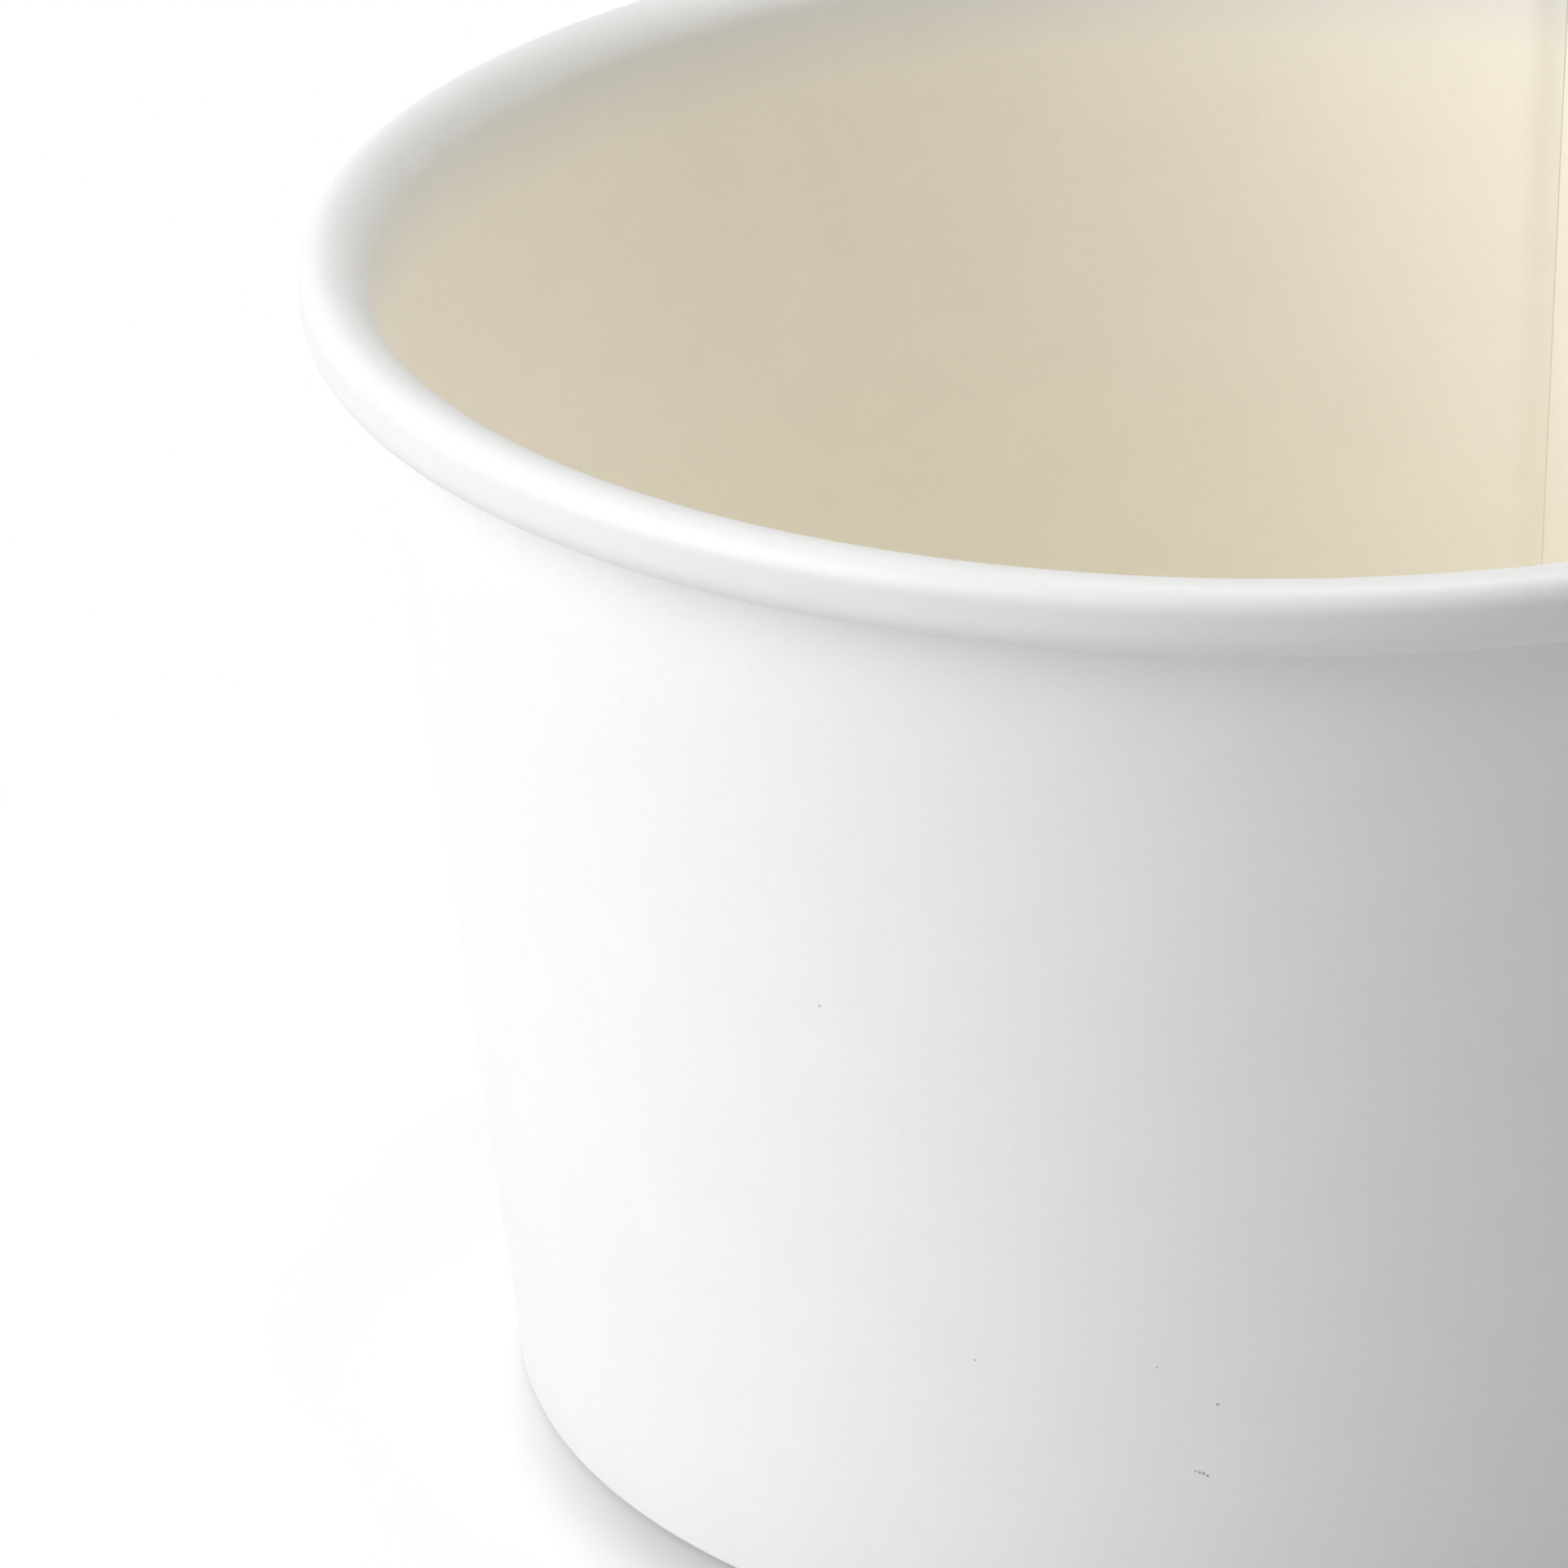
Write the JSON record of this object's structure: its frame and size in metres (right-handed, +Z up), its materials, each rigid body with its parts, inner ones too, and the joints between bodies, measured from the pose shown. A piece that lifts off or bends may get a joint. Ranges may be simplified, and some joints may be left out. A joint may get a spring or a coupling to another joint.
{
  "type": "paper sundae cup",
  "caption": "Round tapered paper cup with a rolled rim, a lapped side seam and a recessed bottom, for ice cream or other served food.",
  "frame": {"origin": "centre of the base plane, under the middle of the cup", "axes": "+Z up along the cup's axis, and +Y towards the side seam at the back"},
  "size_m": [0.096, 0.096, 0.06],
  "materials": {
    "wall_board": "smooth white clay-coated board, satin, with a warm cream lined inner face",
    "bottom_board": "cream film-lined board, satin above and plain below"
  },
  "bodies": {
    "root": {"side_wall": "wall_board", "bottom_disc": "bottom_board"}
  },
  "joints": []
}
